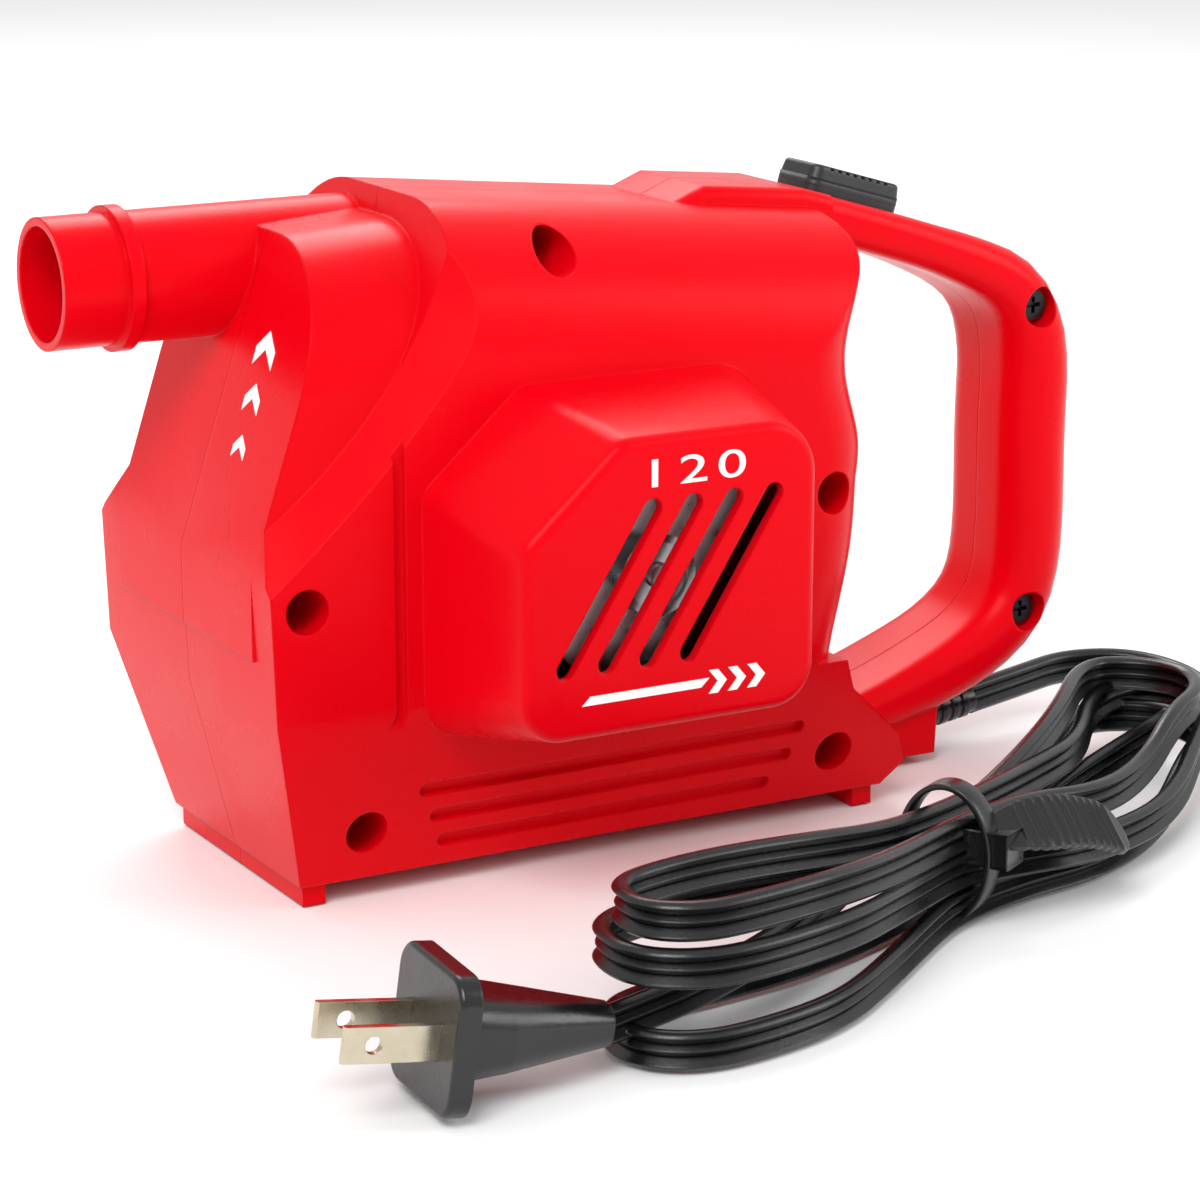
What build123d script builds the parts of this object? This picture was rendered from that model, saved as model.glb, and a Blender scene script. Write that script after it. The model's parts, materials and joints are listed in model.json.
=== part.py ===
from build123d import *

import math
import os

# Electric air mattress pump: a mains blower in a two-part moulded casing. Millimetres, +Z up.
# The nozzle points to -X, the handle is at +X and the motor cover faces -Y.
# A casing place is given by three numbers: x from the front of the base, z from the floor, and a depth
# from the parting plane, positive towards the motor side (-Y) and negative towards the fan side (+Y).

# ---- overall sizes ----
NOZZLE_REACH = 32.5
HANDLE_REACH = 196.0
MOTOR_REACH = 72.0
FAN_REACH = 49.7
FRONT_X = (NOZZLE_REACH - HANDLE_REACH) / 2
PARTING_Y = (MOTOR_REACH - FAN_REACH) / 2

# ---- casing ----
WALL = 2.4
BODY_HALF = 41.7
BASE_HALF = 29.5
CREASE_Z = 40.7
FRONT_LEAN = 10.0
FRONT_CORNER_Z = 68.0
BODY_TOP_Z = 138.3
BODY_TOP_SLOPE = 0.1
TOP_RADIUS = 28.0
SHOULDER_HALF = 33.0
SHOULDER_TOP_Z = 127.9
SHOULDER_SLOPE = 0.064
SKIRT_Z = 4.3
FOOT = 4.8
REAR_FOOT_X = 127.8
REAR_RADIUS = 14.0

# ---- motor cover on the casing's side ----
MOTOR_X = 58.5
MOTOR_Z = 67.7
COVER_WIDTH = 63.6
COVER_HEIGHT = 56.4
COVER_FLARE = 6.6
COVER_EDGE = 2.5
SLOT_COUNT = 4
SLOT_WIDTH = 4.0
SLOT_PITCH = 8.9
SLOT_LEAN = 18.6
SLOT_RISE = 28.8
MOAT_WIDTH = 2.2
MOAT_DEPTH = 1.2

# ---- handle ----
HANDLE_HALF = 14.5
HANDLE_HOLLOW_ROUND = 1.0
ROOT_ROUND = 2.5
BLOCK_HALF = 12.0
BLOCK_BACK = 161.0

# ---- air path ----
NOZZLE_RADIUS = 13.0
NOZZLE_WALL = 1.7
NOZZLE_DEPTH = 14.0
NOZZLE_Z = 119.0
NOZZLE_END = 35.0
COLLAR_X = -17.8
COLLAR_WIDTH = 3.0
COLLAR_RADIUS = 14.3
PORT_RADIUS = 13.0
GRILLE_THICKNESS = 1.6

# ---- screws ----
SCREW_RADIUS = 1.5
SCREW_HEAD_RADIUS = 3.2
SCREW_HEAD_HEIGHT = 2.2
RECESS_RADIUS = 4.4
POST_RADIUS = 6.2
PILLAR_RADIUS = 3.8
CLEARANCE = 0.3
FIT = 0.05

# ---- motor, by depth from the parting plane ----
SHAFT_RADIUS = 2.5
STATOR_RADIUS = 25.4
CORE_RADIUS = 16.5
AIR_GAP = 0.6
CORE_START = 22.0
CORE_LENGTH = 20.0
COIL_OVERHANG = 5.0
COMMUTATOR_RADIUS = 9.5
COMMUTATOR_START = 48.5
COMMUTATOR_LENGTH = 10.0
BRACKET_THICKNESS = 2.5
FRONT_BRACKET_DEPTH = 0.0
REAR_BRACKET_DEPTH = 60.0
BEARING_RADIUS = 6.5
BEARING_LENGTH = 6.0

# ---- fan ----
PLATE_THICKNESS = 2.2
IMPELLER_RADIUS = 38.0
IMPELLER_BACK = 4.0
IMPELLER_DEPTH = 23.0
BLADE_COUNT = 9
HOUSING_FACE = 31.0
SCROLL_WALL = 1.8
SCROLL_START_RADIUS = 42.5
SCROLL_GROWTH = 8.0
SCROLL_START = 125.0

# ---- switch ----
BUTTON_LENGTH = 24.0
BUTTON_WIDTH = 15.0
BUTTON_HEIGHT = 5.2
BUTTON_LIFT = 0.5
BUTTON_TRAVEL = 5.0
STEM_LENGTH = 10.0
STEM_WIDTH = 5.0

# ---- cord and plug ----
CORD_RADIUS = 2.7

SIDE = Plane(origin=(FRONT_X, PARTING_Y, 0), x_dir=(1, 0, 0), z_dir=(0, -1, 0))


def side(depth):
    """Plane parallel to the parting plane: local x and y are the casing's x and z."""
    return SIDE.offset(depth)


def across(x):
    """Plane square to the casing's length: local x is the depth and local y the height."""
    return Plane(origin=(FRONT_X + x, PARTING_Y, 0), x_dir=(0, -1, 0), z_dir=(-1, 0, 0))


def place(x, y, z):
    """Point at x from the front of the base, y from the parting plane and z from the floor."""
    return Vector(FRONT_X + x, PARTING_Y + y, z)


os.makedirs("parts", exist_ok=True)


def save(piece, name):
    piece.part.label = name
    export_step(piece.part, f"parts/{name}.step")


# ---- casing outlines ----
REAR_PROFILE = [
    (0, 116.6),
    (12, 117.2),
    (24, 118.2),
    (37, 119.8),
    (50, 122.8),
    (62, 125.0),
    (74, 125.8),
    (87, 124.8),
    (100, 122.6),
    (112, 125.2),
    (124, 125.2),
    (135, 122.4),
    (146, 118.0),
]
FRONT_TOP_X = 12.0
FRONT_TOP_Z = 137.2
BAND_FOOT_Z = 75.0
BAND = [(2.0, 84.7), (15.8, 98.9), (25.7, 113.6), (33.5, 136.0)]
CREASE = [(7.3, 82.0), (22.4, 97.4), (34.1, 113.3), (42.0, 136.0)]
CREASE_FOOT_Z = 66.0


def front_x(z):
    """Where the leaning front wall stands at height z."""
    if z <= CREASE_Z:
        return -FRONT_LEAN * z / CREASE_Z
    return -FRONT_LEAN - 0.9 * (z - CREASE_Z) / (FRONT_CORNER_Z - CREASE_Z)


def body_side(inset):
    """Side view of the body's front and base, open to the rear."""
    with BuildSketch(side(0)) as view:
        with BuildLine():
            Polyline(
                (150, SKIRT_Z),
                (front_x(SKIRT_Z), SKIRT_Z),
                (front_x(CREASE_Z), CREASE_Z),
                (front_x(FRONT_CORNER_Z), FRONT_CORNER_Z),
                (FRONT_TOP_X, FRONT_TOP_Z),
                (FRONT_TOP_X, 145),
                (150, 145),
                (150, SKIRT_Z),
            )
        make_face()
        if inset:
            offset(amount=-inset, kind=Kind.INTERSECTION)
    return view.sketch


def tail_side(inset):
    """Side view of the base's tail, which carries the handle's lower beam."""
    with BuildSketch(side(0)) as view:
        with BuildLine():
            Polyline(
                (90, SKIRT_Z), (90, 36), (119, 36), (122, 29), (136, 16.4), (139, 9), (134, SKIRT_Z), (90, SKIRT_Z)
            )
        make_face()
        if inset:
            offset(amount=-inset, kind=Kind.INTERSECTION)
    return view.sketch


def plan_section(z, rear_x, inset):
    """Half plan of the body at height z, with its rounded rear corner."""
    half = BODY_HALF - inset
    rear = rear_x - inset
    radius = REAR_RADIUS - inset
    with BuildSketch(Plane(origin=(FRONT_X, PARTING_Y, z), x_dir=(1, 0, 0), z_dir=(0, 0, 1))) as section:
        with BuildLine():
            start = Polyline((rear, -half + radius), (rear, 0), (-30, 0), (-30, -half), (rear - radius, -half))
            RadiusArc(start @ 1, start @ 0, -radius)
        make_face()
    return section.sketch


def body_section(x, inset):
    """Half of the body's cross section at x: slanted foot, upright side and rounded top."""
    top = BODY_TOP_Z - BODY_TOP_SLOPE * x - inset
    half = BODY_HALF - inset
    radius = TOP_RADIUS - inset
    with BuildSketch(across(x)) as section:
        with BuildLine():
            rise = Polyline((0, top), (0, 0), (BASE_HALF - inset, 0), (half, CREASE_Z), (half, top - radius))
            shoulder = RadiusArc(rise @ 1, (half - radius, top), -radius)
            Line(shoulder @ 1, (0, top))
        make_face()
    return section.sketch


def shoulder_section(x, inset):
    """Half of the narrower front duct's cross section at x."""
    top = SHOULDER_TOP_Z + SHOULDER_SLOPE * x - inset
    half = SHOULDER_HALF - inset
    radius = TOP_RADIUS - inset
    with BuildSketch(across(x)) as section:
        with BuildLine():
            rise = Polyline((0, top), (0, 50), (half, 50), (half, top - radius))
            shoulder = RadiusArc(rise @ 1, (half - radius, top), -radius)
            Line(shoulder @ 1, (0, top))
        make_face()
    return section.sketch


def ramp_face(depth, share, inset):
    """Region ahead of the sloping band at a share of the way from its inner to its outer edge."""
    foot = BAND_FOOT_Z + share * (CREASE_FOOT_Z - BAND_FOOT_Z)
    points = [
        (b[0] + share * (c[0] - b[0]) + inset, b[1] + share * (c[1] - b[1])) for b, c in zip(BAND, CREASE)
    ]
    with BuildSketch(side(depth)) as face:
        with BuildLine():
            curve = Spline((front_x(FRONT_CORNER_Z) + inset, foot), *points)
            Polyline(curve @ 1, curve @ 1 + Vector(0, 14), (-40, 150), (-40, foot - 16), curve @ 0)
        make_face()
    return face.sketch


def half_body(inset):
    """Motor-side half of the body: full-width motor housing and the narrower duct ahead of it."""
    with BuildPart() as bar:
        loft([body_section(-20, inset), body_section(145, inset)], ruled=True)
    with BuildPart() as duct_bar:
        loft([shoulder_section(-20, inset), shoulder_section(62, inset)], ruled=True)
    inner = SHOULDER_HALF - inset
    rise = BODY_HALF - SHOULDER_HALF
    with BuildPart() as cutter:
        extrude(ramp_face(-1, 0, inset), amount=inner + 1)
    with BuildPart() as ramp:
        loft([ramp_face(inner, 0, inset), ramp_face(inner + 2 * rise, 2, inset)], ruled=True)
    with BuildPart() as duct:
        with BuildSketch(side(0)):
            with BuildLine():
                corner = front_x(FRONT_CORNER_Z)
                Polyline(
                    (corner, 52), (corner, FRONT_CORNER_Z), (FRONT_TOP_X, FRONT_TOP_Z), (55, FRONT_TOP_Z),
                    (55, 52), (corner, 52),
                )
            make_face()
            if inset:
                offset(amount=-inset, kind=Kind.INTERSECTION)
        extrude(amount=SHOULDER_HALF)
        add(duct_bar.part, mode=Mode.INTERSECT)
    with BuildPart() as plan:
        loft([plan_section(z, rear_x, inset) for z, rear_x in REAR_PROFILE])
    with BuildPart() as half:
        extrude(body_side(inset), amount=BODY_HALF)
        add(plan.part, mode=Mode.INTERSECT)
        extrude(tail_side(inset), amount=BODY_HALF)
        add(bar.part, mode=Mode.INTERSECT)
        add(cutter.part, mode=Mode.SUBTRACT)
        add(ramp.part, mode=Mode.SUBTRACT)
        add(duct.part)
    return half.part


def root_side(inset):
    """Side view of the raised plate where the handle leaves the body's top."""
    with BuildSketch(side(0)) as view:
        with BuildLine():
            Polyline(
                (84, 110), (84, 125.6), (100, 131.9), (124, 129.6), (131, 127.6), (129, 118.6), (118, 110), (84, 110)
            )
        make_face()
        if inset:
            offset(amount=-inset, kind=Kind.INTERSECTION)
    return view.sketch


# Handle stations: centre x, centre z, thickness and corner radius.
HANDLE_STATIONS = [
    (114.0, 127.4, 5.0, 2.2),
    (127.0, 123.6, 9.4, 3.4),
    (140.0, 119.8, 9.4, 3.6),
    (157.5, 114.2, 9.8, 4.2),
    (171.0, 109.0, 11.4, 5.2),
    (181.4, 102.4, 13.8, 6.4),
    (186.9, 91.0, 16.6, 7.8),
    (187.5, 76.0, 17.0, 8.0),
    (187.5, 60.0, 17.0, 8.0),
    (187.3, 45.0, 17.0, 8.0),
    (183.8, 32.0, 16.0, 7.4),
    (175.0, 24.0, 14.4, 6.4),
    (162.0, 18.4, 13.0, 5.4),
    (146.0, 13.9, 10.6, 4.6),
    (128.0, 10.6, 8.6, 3.8),
]
HANDLE_STEPS = 44


def handle_sections(inset):
    """Half sections of the handle at even steps along its centre line."""
    with BuildLine(side(0)):
        centre = Spline(*[(x, z) for x, z, thickness, radius in HANDLE_STATIONS])
    lengths = [0.0]
    for here, after in zip(HANDLE_STATIONS, HANDLE_STATIONS[1:]):
        lengths.append(lengths[-1] + math.dist(here[:2], after[:2]))
    sections = []
    for step in range(2 if inset else 0, HANDLE_STEPS + 1):
        share = step / HANDLE_STEPS
        reach = share * lengths[-1]
        index = max(i for i in range(len(lengths) - 1) if lengths[i] <= reach)
        part_way = (reach - lengths[index]) / (lengths[index + 1] - lengths[index])
        here, after = HANDLE_STATIONS[index], HANDLE_STATIONS[index + 1]
        tall = (here[2] + part_way * (after[2] - here[2])) / 2 - inset
        radius = max(here[3] + part_way * (after[3] - here[3]) - inset, HANDLE_HOLLOW_ROUND)
        wide = HANDLE_HALF - inset
        spot = Plane(origin=centre @ share, x_dir=(0, -1, 0), z_dir=centre % share)
        with BuildSketch(spot) as section:
            with BuildLine():
                low = Line((0, -tall), (wide - radius, -tall))
                first = RadiusArc(low @ 1, (wide, radius - tall), -radius)
                near = Line(first @ 1, (wide, tall - radius))
                second = RadiusArc(near @ 1, (wide - radius, tall), -radius)
                Polyline(second @ 1, (0, tall), (0, -tall))
            make_face()
        sections.append((centre @ share, section.sketch))
    return sections


def handle_bar():
    """Motor-side half of the handle, from the body's top round to the base's tail."""
    with BuildPart() as half:
        loft([sketch for middle, sketch in handle_sections(0)], ruled=True)
    return half.part


def handle_hollows():
    """Hollows inside the handle, which stays solid round its screws."""
    runs = [[]]
    for middle, sketch in handle_sections(WALL):
        gaps = [(middle - place(SCREWS[name][0], 0, SCREWS[name][1])).length for name in HANDLE_SCREWS]
        if min(gaps) < POST_RADIUS + 1:
            runs.append([])
        else:
            runs[-1].append(sketch)
    parts = []
    for run in runs:
        if len(run) > 1:
            with BuildPart() as hollow:
                loft(run, ruled=True)
            parts.append(hollow.part)
    return parts


def root_plate(inset):
    """Motor-side half of the raised plate at the handle's front end."""
    with BuildPart() as half:
        extrude(root_side(inset), amount=HANDLE_HALF - inset)
        if not inset:
            near = half.faces().sort_by(Axis.Y)[0]
            fillet(near.edges().sort_by(Axis.Z)[-3:], ROOT_ROUND)
    return half.part


def block_side(inset):
    """Side view of the block below the handle that holds the cord."""
    with BuildSketch(side(0)) as view:
        with BuildLine():
            Polyline((146, 13), (147.5, 2), (BLOCK_BACK, 2), (BLOCK_BACK + 0.6, 13.5), (146, 13))
        make_face()
        if inset:
            offset(amount=-inset, kind=Kind.INTERSECTION)
    return view.sketch


def cover_face(depth, grow):
    """Outline of the motor cover, with its long cut corner, at one depth; grow widens it all round."""
    wide = COVER_WIDTH / 2 + grow
    tall = COVER_HEIGHT / 2 + grow
    with BuildSketch(side(depth)) as face:
        with BuildLine():
            FilletPolyline(
                (MOTOR_X - wide, MOTOR_Z - tall),
                (MOTOR_X + wide, MOTOR_Z - tall),
                (MOTOR_X + wide, MOTOR_Z + tall),
                (MOTOR_X - wide + 21, MOTOR_Z + tall),
                (MOTOR_X - wide, MOTOR_Z + tall - 18.5),
                radius=[9, 9, 11, 6, 6],
                close=True,
            )
        make_face()
    return face.sketch


def cover(inset):
    """Motor cover: a raised box with flared sides."""
    with BuildPart() as box:
        loft([cover_face(BODY_HALF - 2 * WALL, COVER_FLARE - inset), cover_face(MOTOR_REACH - inset, -inset)])
        if not inset:
            fillet(box.faces().sort_by(Axis.Y)[0].edges(), COVER_EDGE)
    return box.part


# ---- casing screws: x, z and how far the screw's head floor stands from the parting plane ----
SCREWS = {
    "front_low": (11.9, 14.7, 12.0),
    "front_mid": (-3.3, 62.8, 12.0),
    "top": (54.5, 125.0, 12.0),
    "rear_mid": (114.5, 72.0, 12.0),
    "rear_low": (120.0, 14.5, 12.0),
    "handle_low": (184.0, 31.4, 8.5),
    "handle_top": (185.0, 99.4, 8.5),
}
HANDLE_SCREWS = ("handle_low", "handle_top")
SCREW_GRIP = 12.0


def disc(x, z, radius, start, length):
    """Plain cylinder square to the parting plane, from a depth and on towards the motor side."""
    with BuildPart() as part:
        with BuildSketch(side(start)):
            with Locations((x, z)):
                Circle(radius)
        extrude(amount=length)
    return part.part


def ring(x, z, radius, bore, start, length):
    """Plain tube square to the parting plane."""
    with BuildPart() as part:
        with BuildSketch(side(start)):
            with Locations((x, z)):
                Circle(radius)
                Circle(bore, mode=Mode.SUBTRACT)
        extrude(amount=length)
    return part.part


def other_side(part):
    """The same shape on the fan side of the parting plane."""
    return mirror(part, about=side(0), mode=Mode.PRIVATE)


# ---- both casing halves: outside and hollows, motor side ----
motor_hollow = half_body(WALL)
root_hollow = root_plate(WALL)
with BuildPart() as block_hollow:
    extrude(block_side(WALL), amount=BLOCK_HALF - WALL)
hollows = [motor_hollow, root_hollow, *handle_hollows(), block_hollow.part]

with BuildPart() as half_outside:
    add(half_body(0))
    add(root_plate(0))
    add(handle_bar())
    extrude(block_side(0), amount=BLOCK_HALF)
    for foot_x in (0, REAR_FOOT_X):
        with BuildSketch(side(0)):
            with Locations((foot_x, 0)):
                Rectangle(FOOT, SKIRT_Z + 1, align=(Align.MIN, Align.MIN))
        extrude(amount=BASE_HALF)

# rests for the fan housing's plate, by angle round the motor's axis, and for the switch
PLATE_RESTS = [(46.5, 200), (46.5, 325), (46.5, 60)]
SWITCH_RESTS = [(106.5, 113.0), (115.0, 110.5)]
SWITCH_HALF = 8.0
REST_RADIUS = 3.0

with BuildPart() as motor_posts:
    for name, (x, z, floor) in SCREWS.items():
        if name not in HANDLE_SCREWS:
            add(disc(x, z, POST_RADIUS, 0, BODY_HALF))
    for reach, angle in PLATE_RESTS:
        x = MOTOR_X + reach * math.cos(math.radians(angle))
        z = MOTOR_Z + reach * math.sin(math.radians(angle))
        add(disc(x, z, REST_RADIUS, 0, BODY_HALF - WALL / 2))
    for x, z in SWITCH_RESTS:
        add(disc(x, z, REST_RADIUS, SWITCH_HALF, BODY_HALF))
    add(half_outside.part, mode=Mode.INTERSECT)

with BuildPart() as fan_pillars:
    for name, (x, z, floor) in SCREWS.items():
        if name not in HANDLE_SCREWS:
            add(disc(x, z, PILLAR_RADIUS, 0, BODY_HALF))
    for x, z in SWITCH_RESTS:
        add(disc(x, z, REST_RADIUS, SWITCH_HALF, BODY_HALF))
    add(half_outside.part, mode=Mode.INTERSECT)

# ---- slanted lower side: three long grooves ----
SLANT = math.atan2(BODY_HALF - BASE_HALF, CREASE_Z)
GROOVES = [(66.8, 22.0, 88.7), (67.4, 15.9, 83.7), (66.4, 9.9, 77.0)]
GROOVE_WIDTH = 3.0
GROOVE_DEPTH = 1.3
slant_plane = Plane(
    origin=place(0, -BASE_HALF, 0), x_dir=(1, 0, 0), z_dir=(0, -math.cos(SLANT), -math.sin(SLANT))
)

# ---- switch: the button's seat on the handle's sloping top ----
BUTTON_X = 140.5
BUTTON_Z = 124.8
BEAM_ANGLE = 16.4
beam_along = (math.cos(math.radians(BEAM_ANGLE)), 0, -math.sin(math.radians(BEAM_ANGLE)))
beam_normal = (math.sin(math.radians(BEAM_ANGLE)), 0, math.cos(math.radians(BEAM_ANGLE)))
beam = Plane(origin=place(BUTTON_X, 0, BUTTON_Z), x_dir=beam_along, z_dir=beam_normal)
with BuildPart() as stem_slot:
    with BuildSketch(beam.offset(-WALL - 1.5)):
        with Locations((-BUTTON_TRAVEL / 2, 0)):
            RectangleRounded(STEM_LENGTH + BUTTON_TRAVEL + 2 * CLEARANCE, STEM_WIDTH + 2 * CLEARANCE, 2)
    extrude(amount=WALL + 4)

# ---- cord's way out of the block ----
EXIT_Z = 7.0
EXIT_ANGLE = 6.0
RELIEF_RADIUS = 3.9
cord_exit = Plane(
    origin=place(BLOCK_BACK, 0, EXIT_Z),
    x_dir=(0, 1, 0),
    z_dir=(math.cos(math.radians(EXIT_ANGLE)), 0, math.sin(math.radians(EXIT_ANGLE))),
)
with BuildPart() as relief_hole:
    with BuildSketch(cord_exit.offset(-5)):
        Circle(RELIEF_RADIUS + FIT)
    extrude(amount=9)

# ---- cooling slots round the rear corner ----
RIB_HEIGHTS = [93.5, 80.0, 66.5, 53.5, 41.0]
with BuildPart() as rear_slots:
    for height in RIB_HEIGHTS:
        with BuildSketch(side(20)):
            with Locations((126.5, height)):
                Rectangle(11, 3.6)
        extrude(amount=14.5)
    fillet(rear_slots.edges().filter_by(Axis.Y), 1.4)

# ---- motor-side casing half ----
with BuildPart() as motor_side_shell:
    add(half_outside.part)
    add(cover(0))
    for hollow in hollows:
        add(hollow, mode=Mode.SUBTRACT)
    add(cover(WALL), mode=Mode.SUBTRACT)
    add(motor_posts.part)
    for x, z, floor in SCREWS.values():
        add(disc(x, z, RECESS_RADIUS, floor, MOTOR_REACH), mode=Mode.SUBTRACT)
        add(disc(x, z, SCREW_RADIUS + CLEARANCE, -1, BODY_HALF), mode=Mode.SUBTRACT)
    # row of slanted air slots through the cover's face
    for index in range(SLOT_COUNT):
        centre_x = MOTOR_X - 0.6 + SLOT_PITCH * (index - (SLOT_COUNT - 1) / 2)
        with BuildSketch(side(MOTOR_REACH - 2 * WALL)):
            with Locations(Location((centre_x, MOTOR_Z + 0.3), math.degrees(math.atan2(SLOT_RISE, SLOT_LEAN)))):
                SlotOverall(math.hypot(SLOT_RISE, SLOT_LEAN) + SLOT_WIDTH, SLOT_WIDTH)
        extrude(amount=3 * WALL, mode=Mode.SUBTRACT)
    # shallow trough round the cover's foot
    with BuildSketch(side(BODY_HALF - MOAT_DEPTH)):
        add(cover_face(BODY_HALF - MOAT_DEPTH, COVER_FLARE + MOAT_WIDTH))
        add(cover_face(BODY_HALF - MOAT_DEPTH, COVER_FLARE), mode=Mode.SUBTRACT)
    extrude(amount=2 * MOAT_DEPTH, mode=Mode.SUBTRACT)
    for centre, height, length in GROOVES:
        with BuildSketch(slant_plane):
            with Locations((centre, height / math.cos(SLANT))):
                SlotOverall(length, GROOVE_WIDTH)
        extrude(amount=-GROOVE_DEPTH, mode=Mode.SUBTRACT)
    add(rear_slots.part, mode=Mode.SUBTRACT)
    add(stem_slot.part, mode=Mode.SUBTRACT)
    add(relief_hole.part, mode=Mode.SUBTRACT)
save(motor_side_shell, "motor_side_shell")

# ---- fan-side casing half, with the nozzle and the intake port ----
nozzle_axis = Plane(origin=place(-NOZZLE_REACH, NOZZLE_DEPTH, NOZZLE_Z), x_dir=(0, -1, 0), z_dir=(1, 0, 0))
NOZZLE_BORE = NOZZLE_RADIUS - NOZZLE_WALL
PORT_BORE = PORT_RADIUS - NOZZLE_WALL
with BuildPart() as fan_side_shell:
    add(other_side(half_outside.part))
    for hollow in hollows:
        add(other_side(hollow), mode=Mode.SUBTRACT)
    add(other_side(fan_pillars.part))
    for x, z, floor in SCREWS.values():
        add(disc(x, z, SCREW_RADIUS + FIT, -SCREW_GRIP, SCREW_GRIP + 1), mode=Mode.SUBTRACT)
    with BuildSketch(nozzle_axis):
        Circle(NOZZLE_RADIUS)
    extrude(amount=NOZZLE_REACH + NOZZLE_END)
    with BuildSketch(nozzle_axis.offset(COLLAR_X + NOZZLE_REACH - COLLAR_WIDTH / 2)):
        Circle(COLLAR_RADIUS)
    extrude(amount=COLLAR_WIDTH)
    with BuildSketch(nozzle_axis.offset(-1)):
        Circle(NOZZLE_BORE)
    extrude(amount=NOZZLE_REACH + NOZZLE_END + 2, mode=Mode.SUBTRACT)
    add(disc(MOTOR_X, MOTOR_Z, PORT_RADIUS, -FAN_REACH, FAN_REACH - HOUSING_FACE))
    add(disc(MOTOR_X, MOTOR_Z, PORT_BORE, -FAN_REACH - 1, FAN_REACH), mode=Mode.SUBTRACT)
    add(other_side(rear_slots.part), mode=Mode.SUBTRACT)
    add(stem_slot.part, mode=Mode.SUBTRACT)
    add(relief_hole.part, mode=Mode.SUBTRACT)
save(fan_side_shell, "fan_side_shell")

# ---- intake guard inside the port ----
with BuildPart() as intake_grille:
    with BuildSketch(side(-BODY_HALF - GRILLE_THICKNESS)):
        with Locations((MOTOR_X, MOTOR_Z)):
            Circle(PORT_BORE - FIT)
            Circle(PORT_BORE - 1.5, mode=Mode.SUBTRACT)
            Circle(4.6)
            Circle(3.4, mode=Mode.SUBTRACT)
        with Locations((MOTOR_X, MOTOR_Z)):
            with PolarLocations(PORT_BORE / 2 + 1.6, 6):
                Rectangle(PORT_BORE - 4.2, 1.4)
    extrude(amount=GRILLE_THICKNESS)
save(intake_grille, "intake_grille")


# ---- fan housing: a scroll that widens to the nozzle ----
SCROLL_STEPS = 14
SCROLL_SWEEP = 325.0
MOUTH_X = NOZZLE_END + 1.0
MOUTH_LOW_Z = 109.8
MOUTH_HIGH_Z = 123.0
ROOF_X = 49.5
ROOF_Z = 119.0


def scroll_points(extra):
    """Spiral round the fan's axis; extra moves it outwards."""
    points = []
    for step in range(SCROLL_STEPS + 1):
        share = step / SCROLL_STEPS
        angle = math.radians(SCROLL_START + SCROLL_SWEEP * share)
        radius = SCROLL_START_RADIUS + SCROLL_GROWTH * share + extra
        points.append((MOTOR_X + radius * math.cos(angle), MOTOR_Z + radius * math.sin(angle)))
    return points


def scroll_view(depth, extra):
    """Filled side view of the scroll and its mouth."""
    with BuildSketch(side(depth)) as view:
        with BuildLine():
            spiral = Spline(*scroll_points(extra))
            Polyline(
                spiral @ 1,
                (ROOF_X, ROOF_Z + extra),
                (MOUTH_X, MOUTH_HIGH_Z + extra),
                (MOUTH_X, MOUTH_LOW_Z - 2 * extra),
                spiral @ 0,
            )
        make_face()
    return view.sketch


with BuildPart() as fan_housing:
    extrude(scroll_view(-HOUSING_FACE, SCROLL_WALL), amount=HOUSING_FACE - PLATE_THICKNESS)
    extrude(scroll_view(-HOUSING_FACE + SCROLL_WALL, 0), amount=HOUSING_FACE, mode=Mode.SUBTRACT)
    add(disc(MOTOR_X, MOTOR_Z, PORT_BORE, -HOUSING_FACE - 1, 5), mode=Mode.SUBTRACT)
save(fan_housing, "fan_housing")

FIXING_X = 15.0
BEARING_SEAT_RADIUS = BEARING_RADIUS + 1.5
with BuildPart() as motor_plate:
    extrude(scroll_view(-PLATE_THICKNESS, SCROLL_WALL), amount=PLATE_THICKNESS)
    add(disc(MOTOR_X, MOTOR_Z, BEARING_SEAT_RADIUS, -PLATE_THICKNESS - 1, 5), mode=Mode.SUBTRACT)
    for offset_x in (-FIXING_X, FIXING_X):
        add(disc(MOTOR_X + offset_x, MOTOR_Z, SCREW_RADIUS + CLEARANCE, -4, 6), mode=Mode.SUBTRACT)
save(motor_plate, "motor_plate")

with BuildPart() as plate_screws:
    for offset_x in (-FIXING_X, FIXING_X):
        add(disc(MOTOR_X + offset_x, MOTOR_Z, SCREW_RADIUS, -PLATE_THICKNESS, PLATE_THICKNESS + BRACKET_THICKNESS))
        add(disc(MOTOR_X + offset_x, MOTOR_Z, SCREW_HEAD_RADIUS, -PLATE_THICKNESS - 1.2, 1.2))
save(plate_screws, "plate_screws")


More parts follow.
